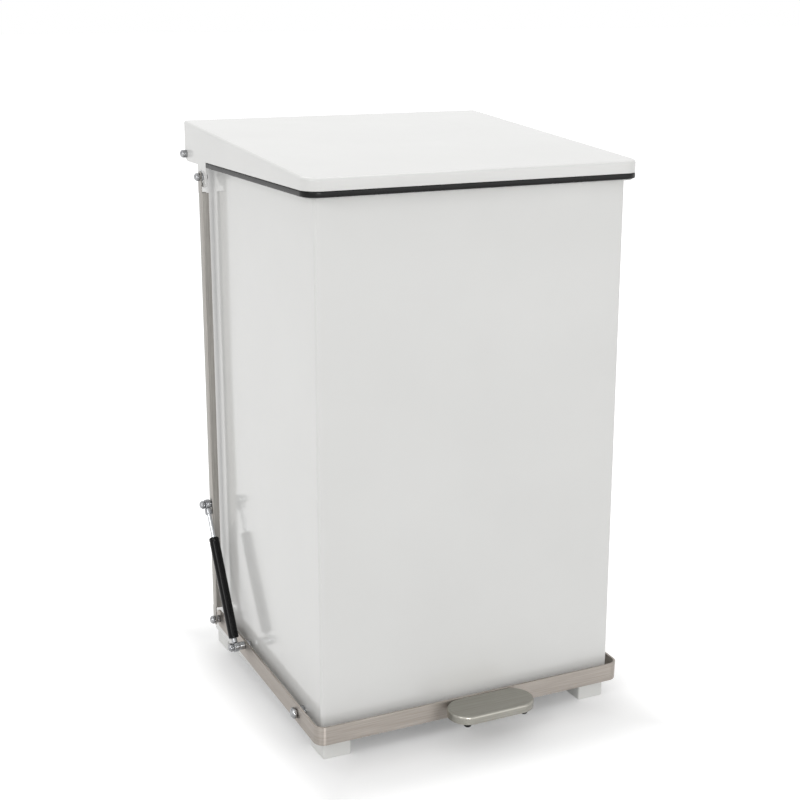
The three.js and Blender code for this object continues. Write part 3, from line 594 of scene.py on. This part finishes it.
def bracket(side):
    """Folded bracket: an ear that holds the axle, and a flange on the body's rear."""
    face, back = DEPTH + GAP, DEPTH + GAP + BRACKET_SHEET
    ear = ([(face, BRACKET_BOTTOM), (back, BRACKET_BOTTOM), (back, BRACKET_MIDDLE)]
           + arc(AXLE_Y, AXLE_Z, EAR_RADIUS, -36, 144, 16) + [(face, AXLE_Z - EAR_RADIUS)])
    near, far = sorted((side * (HALF - EAR_INNER), side * (HALF - EAR_INSET)))
    left, right = sorted((side * (HALF - EAR_INNER), side * (HALF - FLANGE_REACH)))
    points, faces = slab([(left, BRACKET_BOTTOM), (right, BRACKET_BOTTOM),
                          (right, BRACKET_TOP), (left, BRACKET_TOP)], face, back)
    return [standing(slab(ear, near, far)), ([(u, w, v) for u, v, w in points], faces)]


def blind_rivet():
    """Domed head on the bracket, shank, and a tail spread behind the body's sheet."""
    seat, tail = DEPTH + 2 * GAP + BRACKET_SHEET, DEPTH - SHEET - GAP
    dome = [(4 * math.cos(a), seat + 0.3 + 1.5 * math.sin(a)) for a in QUARTER_TURN]
    return turned([(1.2, tail - 1.8), (2.6, tail - 1.6), (3.2, tail - 0.6), (3.2, tail), (2, tail),
                   (2, seat), (3.7, seat), (4, seat + 0.3)] + dome)


for hand, side in HANDS:
    piece(f"hinge_ear_{hand}", [f"hinge_bracket_{hand}"], COAT, bracket(side))
    x = side * (HALF - EAR_INNER - RIVET_INSET)
    for i, z in enumerate((BRACKET_MIDDLE - RIVET_RISE, BRACKET_MIDDLE + RIVET_RISE)):
        piece(f"rivet_head_{hand}_{i + 1}", [f"bracket_rivet_{hand}_{i + 1}"], ZINC,
              [blind_rivet()],
              Matrix.Translation((x, 0, z)) @ Matrix.Rotation(-math.pi / 2, 4, "X"))

# ---------------------------------------------------------------- lid
TAB_REAR = TAB_FRONT + TAB_WIDTH
DEEP = SEAT + SKIRT_DROP
SEAL_INNER = front_path(LID_HALF - SEAL_WIDTH, LID_FRONT + SEAL_WIDTH, SEAL_END, SEAL_INNER_CORNER)


def lid_top(y):
    """Height of the sloping top."""
    return SEAT + LID_FRONT_HEIGHT + (y - LID_FRONT) * LID_SLOPE


def lid_outline(inset):
    """Plan of the lid as (x, y, lower edge): skirt above the seal, tab, cut rear corner and rear
    wall."""
    half, front, rear = LID_HALF - inset, LID_FRONT + inset, LID_REAR - inset
    corner, back = max(LID_CORNER - inset, 0.8), max(LID_REAR_CORNER - inset, 0.8)
    low = TAB_BOTTOM + TAB_CORNER
    side = ([(TAB_FRONT - 3, SKIRT_BOTTOM), (TAB_FRONT, SKIRT_BOTTOM)]
            + arc(TAB_FRONT + TAB_CORNER, low, TAB_CORNER, 180, 270)
            + arc(TAB_REAR - TAB_CORNER, low, TAB_CORNER, 270, 360)
            + [(TAB_REAR, DEEP), (LID_REAR - SKIRT_REAR_CUT, DEEP)])

    def rise(y):
        return DEEP + (y - LID_REAR + SKIRT_REAR_CUT) / 2

    wall = SEAT + REAR_WALL_LIFT
    turn = [rise(min(y + inset, LID_REAR)) for _, y in arc(0, rear - back, back, 0, 90)]
    right_turn = [(x, y, z) for (x, y), z in zip(arc(half - back, rear - back, back, 0, 90), turn)]
    left_turn = [(-x, y, z) for x, y, z in reversed(right_turn)]
    front_turns = (arc(-half + corner, front + corner, corner, 180, 270)
                   + arc(half - corner, front + corner, corner, 270, 360))
    edge = half - back - 1
    return ([(x, y, SKIRT_BOTTOM) for x, y in front_turns] + [(half, y, z) for y, z in side]
            + right_turn + [(edge, rear, right_turn[-1][2]), (edge, rear, wall),
                            (-edge, rear, wall), (-edge, rear, right_turn[-1][2])]
            + left_turn + [(-half, y, z) for y, z in reversed(side)])


def lid_parts():
    """Folded cover with a rounded top edge, and the lip that the seal is bonded to."""
    def above(inset, drop):
        return [(x, y, lid_top(y) - drop) for x, y, _ in lid_outline(inset)]

    def lower(inset, lift):
        return [(x, y, z + lift) for x, y, z in lid_outline(inset)]

    edge = [(LID_EDGE * (1 - math.cos(a)), LID_EDGE * (1 - math.sin(a))) for a in QUARTER_TURN]
    rings = [above(SHEET + 3, SHEET), above(SHEET + 0.9, SHEET + 0.9), above(SHEET, SHEET + 3),
             lower(SHEET, 0.3), lower(SHEET - 0.3, 0), lower(0.3, 0), lower(0, 0.3)]
    rings += [above(inset, drop) for inset, drop in edge]
    lip = swept(front_path(LID_HALF - 0.5, LID_FRONT + 0.5, SEAL_END, LID_CORNER - 0.5),
                SEAL_INNER, SKIRT_BOTTOM + 0.02, SKIRT_BOTTOM + SHEET, 0.3)
    return [loft(rings), lip]


def tab_hole(side):
    """Round hole for the upper rod bolt through the tab."""
    points, faces = turned([(TAB_HOLE, LID_HALF - 4), (TAB_HOLE, LID_HALF + 3)])
    place = outward(side, ROD_TOP_Y, ROD_TOP_Z)
    return [place @ Vector(p) for p in points], faces


piece("lid_cover", ["lid_shell"], COAT, lid_parts(), holes=[tab_hole(side) for _, side in HANDS])

piece("lid_seal", ["lid_gasket"], RUBBER,
      [swept(front_path(LID_HALF, LID_FRONT, SEAL_END, LID_CORNER), SEAL_INNER,
             SEAT, SEAT + SEAL_HEIGHT, 1.6)])

AXLE_END = LID_HALF + GAP + AXLE_GRIP
piece("hinge_rod", ["hinge_axle"], ZINC, [shank(AXLE_RADIUS, -AXLE_END, AXLE_END)],
      outward(1, AXLE_Y, AXLE_Z))
for hand, side in HANDS:
    piece(f"hinge_cap_{hand}", [f"hinge_nut_{hand}"], ZINC,
          [cap_head(FLATS_M6, station(LID_OVERHANG + GAP),
                    station(LID_OVERHANG + GAP + AXLE_NUT))],
          outward(side, AXLE_Y, AXLE_Z))

# ---------------------------------------------------------------- pedal frame
FRAME_PLACE = Matrix.Translation((0, PIVOT_Y, PIVOT_Z)) @ Matrix.Rotation(FRAME_TILT, 4, "X")
STRAP_HALF = STRAP_HEIGHT / 2
# Where a nut meets the bar's inner face, a spacer the rod's web, and a head the rod's outside.
STRAP_FACE = station(STRAP_STANDOFF - GAP)
WEB_FACE = station(ROD_STANDOFF - GAP)
ROD_SEAT = station(ROD_OUTER + GAP)


def flat_bar():
    """Flat bar bent round the front; both arms end in a half round at the rod bolts."""
    turns = [math.radians(a) for a in (0, 15, 30, 45, 60, 70, 78, 84)]
    tip = [(ARM_LENGTH + STRAP_HALF * math.sin(a), STRAP_HALF * math.cos(a)) for a in turns]

    def path(half, front, corner):
        bend = front_path(half, front, ARM_LENGTH, corner)
        return [(-half, y) for y, _ in reversed(tip)] + bend[1:-1] + [(half, y) for y, _ in tip]

    outer = path(HALF + STRAP_OUTER, -STRAP_REACH, STRAP_CORNER)
    inner = path(HALF + STRAP_STANDOFF, -STRAP_REACH + STRAP_THICK, STRAP_CORNER - STRAP_THICK)
    height = ([h for _, h in reversed(tip)] + [STRAP_HALF] * (len(outer) - 2 * len(tip))
              + [h for _, h in tip])
    return swept(outer, inner, [-h for h in height], height, 0.7)


piece("pedal_bar", ["pedal_frame"], BAR_STEEL, [flat_bar()], FRAME_PLACE)


def tread():
    """Pressed tread with round ends and a skirt turned down all round."""
    half, radius = PAD_WIDTH / 2, PAD_DEPTH / 2
    middle = -(STRAP_REACH + GAP + radius)

    def ring(inset, z):
        r = radius - inset
        return level(arc(PAD_OFFSET - half + radius, middle, r, 90, 270, 24)
                     + arc(PAD_OFFSET + half - radius, middle, r, 270, 450, 24), z)

    top, low = STRAP_HALF, STRAP_HALF - PAD_SKIRT
    bend = [(PAD_BEND * (1 - math.cos(a)), top - PAD_BEND * (1 - math.sin(a)))
            for a in QUARTER_TURN]
    return loft([ring(PAD_WALL + 3, top - PAD_PLATE), ring(PAD_WALL + 0.8, top - PAD_PLATE - 0.8),
                 ring(PAD_WALL, top - PAD_PLATE - 3), ring(PAD_WALL, low + 0.4),
                 ring(PAD_WALL - 0.4, low), ring(0.4, low), ring(0, low + 0.4)]
                + [ring(inset, z) for inset, z in bend])


piece("pedal_tread", ["pedal_pad"], PAD_STEEL, [tread()], FRAME_PLACE)
for hand, side in HANDS:
    low, high = STRAP_HALF - PAD_SKIRT - STOP_DROP, STRAP_HALF - PAD_PLATE - GAP
    piece(f"rubber_stop_{hand}", [f"pedal_bumper_{hand}"], RUBBER,
          [turned([(STOP_RADIUS - 2.5, low), (STOP_RADIUS - 1, low + 0.4),
                   (STOP_RADIUS - 0.2, low + 1.3), (STOP_RADIUS, low + 2.4),
                   (STOP_RADIUS, high - 0.4), (STOP_RADIUS - 0.4, high)])],
          FRAME_PLACE @ Matrix.Translation((PAD_OFFSET + side * STOP_SPREAD,
                                            -(STRAP_REACH + GAP + PAD_DEPTH - STOP_INSET), 0)))

for hand, side in HANDS:
    pivot = outward(side, PIVOT_Y, PIVOT_Z)
    piece(f"pivot_screw_{hand}", [f"pivot_bolt_{hand}"], ZINC,
          screw(station(-PIVOT_TIP), station(STRAP_OUTER + GAP), FLATS_M8, HEAD_M8, SHANK_M8),
          pivot)
    piece(f"pivot_collar_{hand}", [f"pivot_spacer_{hand}"], ZINC,
          [collar(HOLE_M8, COLLAR_M8, station(GAP), STRAP_FACE)], pivot)

    low_bolt = outward(side, ROD_LOW_Y, ROD_LOW_Z)
    piece(f"rod_foot_screw_{hand}", [f"rod_lower_bolt_{hand}"], ZINC,
          screw(STRAP_FACE - NUT_M6, ROD_SEAT), low_bolt)
    piece(f"rod_foot_nut_{hand}", [f"rod_lower_nut_{hand}"], ZINC,
          [plain_nut(FLATS_M6, STRAP_FACE - NUT_M6, STRAP_FACE)], low_bolt)
    piece(f"rod_foot_collar_{hand}", [f"rod_lower_spacer_{hand}"], ZINC,
          [collar(HOLE_M6, COLLAR_M6, station(STRAP_OUTER + GAP), WEB_FACE)], low_bolt)

# ---------------------------------------------------------------- lift rods
def channel(side):
    """Channel pressed from strip: web outward, flanges toward the body, flat rounded ends."""
    out, half, back = HALF + ROD_OUTER, ROD_WEB / 2, HALF + ROD_OUTER - ROD_FLANGE
    bend, wall = 2.0, ROD_SHEET
    outer = ([(back, -half)] + arc(out - bend, -half + bend, bend, 270, 360, 5)
             + arc(out - bend, half - bend, bend, 0, 90, 5) + [(back, half)])
    inner = ([(back, half - wall)] + arc(out - bend, half - bend, bend - wall, 90, 0, 5)
             + arc(out - bend, -half + bend, bend - wall, 360, 270, 5) + [(back, -half + wall)])
    section = outer + inner
    low, high = ROD_TRIM_LOW, ROD_LENGTH - ROD_TRIM_HIGH
    body = loft([[(side * x, y, z) for x, y in section] for z in (low, high)])
    meet = math.degrees(math.acos(half / ROD_END))
    stations = sorted((side * (HALF + ROD_STANDOFF), side * out))
    foot = [(-half, low + 1)] + arc(0, 0, ROD_END, 180 + meet, 360 - meet, 12) + [(half, low + 1)]
    head = ([(half, high - 1)] + arc(0, ROD_LENGTH, ROD_END, meet, 180 - meet, 12)
            + [(-half, high - 1)])
    return [body] + [standing(slab(end, stations[0] + 0.02, stations[1] - 0.02, 0.35))
                     for end in (foot, head)]


ROD_PLACE = Matrix.Translation((0, ROD_LOW_Y, ROD_LOW_Z)) @ Matrix.Rotation(-ROD_TILT, 4, "X")
for hand, side in HANDS:
    piece(f"lift_channel_{hand}", [f"lift_rod_{hand}"], ROD_STEEL, channel(side), ROD_PLACE)
    top_bolt = outward(side, ROD_TOP_Y, ROD_TOP_Z)
    tab_face = station(LID_OVERHANG - SHEET - GAP)
    piece(f"rod_head_screw_{hand}", [f"rod_upper_bolt_{hand}"], ZINC,
          screw(tab_face - NUT_M6, ROD_SEAT), top_bolt)
    piece(f"rod_head_nut_{hand}", [f"rod_upper_nut_{hand}"], ZINC,
          [plain_nut(FLATS_M6, tab_face - NUT_M6, tab_face)], top_bolt)
    piece(f"rod_head_washer_{hand}", [f"rod_upper_washer_{hand}"], ZINC,
          [collar(HOLE_M6, WASHER_M6, station(LID_OVERHANG + GAP), WEB_FACE)], top_bolt)

# ---------------------------------------------------------------- damper
low_y = PIVOT_Y + DAMPER_LOW[0] * math.cos(FRAME_TILT) - DAMPER_LOW[1] * math.sin(FRAME_TILT)
low_z = PIVOT_Z + DAMPER_LOW[0] * math.sin(FRAME_TILT) + DAMPER_LOW[1] * math.cos(FRAME_TILT)
high_y = ROD_LOW_Y + DAMPER_HIGH_ALONG * math.sin(ROD_TILT)
high_z = ROD_LOW_Z + DAMPER_HIGH_ALONG * math.cos(ROD_TILT)
SPAN = math.hypot(high_y - low_y, high_z - low_z)
DAMPER_TILT = math.atan2(high_y - low_y, high_z - low_z)
DAMPER_PLACE = (Matrix.Translation((-station(DAMPER_STATION), low_y, low_z))
                @ Matrix.Rotation(-DAMPER_TILT, 4, "X"))
TUBE_TOP = DAMPER_START + DAMPER_LENGTH
# Profiles of the tube's foot and of its crimped head, as (in from the outside, along).
TUBE_FOOT = ((7, 0), (1.8, 0), (0.8, 0.3), (0.1, 1.2), (0, 2.2))
TUBE_HEAD = ((0, 7), (0.3, 6.4), (0.3, 5.4), (0, 4.8), (0, 2), (0.4, 0.8), (1.4, 0), (2.6, 0),
             (2.8, 0.6), (3.7, 0.6), (3.7, 5), (7, 5))
piece("damper_tube", ["damper_cylinder"], ENAMEL,
      [turned([(DAMPER_RADIUS - inset, DAMPER_START + z) for inset, z in TUBE_FOOT]
              + [(DAMPER_RADIUS - inset, TUBE_TOP - z) for inset, z in TUBE_HEAD])], DAMPER_PLACE)
piece("damper_rod", ["damper_piston_rod"], CHROME,
      [shank(DAMPER_ROD_RADIUS, TUBE_TOP - DAMPER_ROD_INSIDE, SPAN - EYE_RADIUS - 2 * GAP)],
      DAMPER_PLACE)


def eye(z):
    """Flat eye round a bolt, its hole along x."""
    points, faces = collar(HOLE_M6, EYE_RADIUS, -EYE_THICK / 2, EYE_THICK / 2, 0.7)
    return [(w, u, v + z) for u, v, w in points], faces


# The lower eye's neck goes up into the tube, and the upper eye's socket takes the rod's end.
NECK = [(4, 6), (4, 11), (3.6, 11.7), (2.7, 11.7), (2.7, 15.5)]
SOCKET = ((3.3, 15), (4.4, 15), (5, 14), (5, 7.5), (4.2, 6.2), (0, 6.2), (0, 7.3), (3.3, 7.3))
piece("damper_foot_eye", ["damper_lower_eye"], ZINC, [eye(0), turned(NECK)], DAMPER_PLACE)
piece("damper_head_eye", ["damper_upper_eye"], ZINC,
      [eye(SPAN), turned([(r, SPAN - z) for r, z in SOCKET], joined=True)], DAMPER_PLACE)

eye_inner = station(DAMPER_STATION - EYE_THICK / 2)
eye_outer = station(DAMPER_STATION + EYE_THICK / 2)
damper_cap = cap_head(FLATS_M6, eye_outer + GAP, eye_outer + GAP + NUT_M6)
low_bolt, high_bolt = outward(-1, low_y, low_z), outward(-1, high_y, high_z)
piece("damper_foot_screw", ["damper_lower_bolt"], ZINC,
      [plain_nut(FLATS_M6, STRAP_FACE - NUT_M6, STRAP_FACE),
       shank(SHANK_M6, STRAP_FACE - 1, eye_outer + 3)], low_bolt)
piece("damper_foot_collar", ["damper_lower_spacer"], ZINC,
      [collar(HOLE_M6, COLLAR_M6, station(STRAP_OUTER + GAP), eye_inner - GAP)], low_bolt)
piece("damper_foot_cap", ["damper_lower_nut"], ZINC, [damper_cap], low_bolt)
piece("damper_head_stud", ["damper_upper_bolt"], ZINC,
      [turned([(2, WEB_FACE - 2.6), (3.6, WEB_FACE - 2.4), (4.2, WEB_FACE - 1.4), (4.2, WEB_FACE),
               (2.7, WEB_FACE), (2.7, eye_outer + 2.6), (2.2, eye_outer + 3)])], high_bolt)
piece("damper_head_washer", ["damper_upper_washer"], ZINC,
      [collar(3, 5, ROD_SEAT, eye_inner - GAP)], high_bolt)
piece("damper_head_cap", ["damper_upper_nut"], ZINC, [damper_cap], high_bolt)

# Solids that stay as they are: the pan under the liner, the screws of the feet, and the pivots'
# nuts inside the body.
for solid, shown in frame["nodes"].items():
    if not shown.hide_render:
        shown.data.materials.clear()
        shown.data.materials.append(COAT if solid == "base_pan" else ZINC)

# ---------------------------------------------------------------- floor, light and camera
def sees_white(tree):
    """1 for rays from the camera and for reflections and refractions, which see white."""
    path = node(tree, "LightPath")
    seen = node(tree, "Math", {"operation": "MAXIMUM"})
    tree.links.new(path.outputs["Is Camera Ray"], seen.inputs[0])
    tree.links.new(path.outputs["Is Glossy Ray"], seen.inputs[1])
    both = node(tree, "Math", {"operation": "MAXIMUM"})
    tree.links.new(seen.outputs["Value"], both.inputs[0])
    tree.links.new(path.outputs["Is Transmission Ray"], both.inputs[1])
    return both.outputs["Value"]


# The paper goes out PAPER metres each way. Its glow is least under the bin and grows with the
# distance from the bin's middle, in parts of GLOW_REACH metres, so the dim glow near the bin is
# painted shade that deepens its shadow. To follow the bin's plan, the distance is the greater of x
# and GLOW_DEPTH times y.
PAPER = 40.0
GLOW_REACH, GLOW_DEPTH = 3.0, 0.85
FLOOR_GLOW_AND_PAINTED_SHADE = [(0.045, "#727272"), (0.075, "#949494"), (0.087, "#b4b4b4"), (0.105, "#cecece"),
              (1.0, "#e0e0e0")]


def studio_floor():
    """Matt white paper. Its glow is seen but lights nothing, so it stays white round a shadow; its
    dimmer glow near the bin is painted shade.
    """
    mesh = bpy.data.meshes.new("studio_floor")
    mesh.from_pydata([(-PAPER, -PAPER, 0), (PAPER, -PAPER, 0), (PAPER, PAPER, 0),
                      (-PAPER, PAPER, 0)], [], [(0, 1, 2, 3)])
    floor = bpy.data.objects.new("studio_floor", mesh)
    bpy.context.scene.collection.objects.link(floor)
    material, tree, surface, where = new_finish("matt_white_paper", {
        "Roughness": 0.9, "Base Color": linear("#dedede")})
    away = node(tree, "VectorMath", {"operation": "ABSOLUTE"})
    tree.links.new(where, away.inputs[0])
    sides = node(tree, "SeparateXYZ", Vector=away.outputs["Vector"])
    depth = node(tree, "MapRange", {"To Max": GLOW_DEPTH, "clamp": False},
                 Value=sides.outputs["Y"])
    distance = node(tree, "Math", {"operation": "MAXIMUM"})
    tree.links.new(sides.outputs["X"], distance.inputs[0])
    tree.links.new(depth.outputs["Result"], distance.inputs[1])
    part = node(tree, "MapRange", {"From Max": GLOW_REACH}, Value=distance.outputs["Value"])
    # The ramp's dark stops near the bin are painted shade under it.
    glow_and_painted_shade = node(tree, "ValToRGB", {"stops": FLOOR_GLOW_AND_PAINTED_SHADE}, Fac=part.outputs["Result"])
    tree.links.new(glow_and_painted_shade.outputs["Color"], surface.inputs["Emission Color"])
    tree.links.new(sees_white(tree), surface.inputs["Emission Strength"])
    mesh.materials.append(material)


studio_floor()

MIDDLE = Vector((0, 0, 0.4))


def softbox(name, spot, size, power, lights_all=True):
    """Area lamp turned to the bin's middle, by its place, width and height, and watts. One that
    doesn't light all shows in gloss alone."""
    lamp = bpy.data.lights.new(name, "AREA")
    lamp.shape, lamp.energy = "RECTANGLE", power
    lamp.size, lamp.size_y = size
    made = bpy.data.objects.new(name, lamp)
    made.location = spot
    made.rotation_euler = (MIDDLE - Vector(spot)).to_track_quat("-Z", "Y").to_euler()
    made.visible_diffuse = lights_all
    bpy.context.scene.collection.objects.link(made)


softbox("overhead", (0.1, 1.2, 3.3), (3.0, 3.0), 30)
softbox("front_left", (-2.7, -1.9, 2.3), (1.4, 1.4), 29)
softbox("front_right", (1.6, -3.2, 1.4), (2.2, 2.2), 21)
softbox("gleam_strip", (-0.8, -3.0, 1.25), (0.45, 0.8), 36, lights_all=False)

world = bpy.data.worlds.new("studio_air")
bpy.context.scene.world = world
world.use_nodes = True
sky = world.node_tree.nodes["Background"]
sky.inputs["Color"].default_value = linear("#ffffff")
strength = node(world.node_tree, "MapRange", {"To Min": 0.6, "To Max": 1.0},
                Value=sees_white(world.node_tree))
world.node_tree.links.new(strength.outputs["Result"], sky.inputs["Strength"])

CAMERA_AT = (-843.9, -1717.3, 919.2)
CAMERA_TURN, CAMERA_DIP = -25.89, 15.16
lens = bpy.data.cameras.new("camera")
lens.sensor_width, lens.lens, lens.clip_end = 36, 66.41, 100
camera = bpy.data.objects.new("camera", lens)
camera.location = Vector(CAMERA_AT) / 1000
camera.rotation_euler = (math.radians(90 - CAMERA_DIP), 0, math.radians(CAMERA_TURN))
bpy.context.scene.collection.objects.link(camera)
bpy.context.scene.camera = camera
bpy.context.scene.view_settings.view_transform = "Standard"
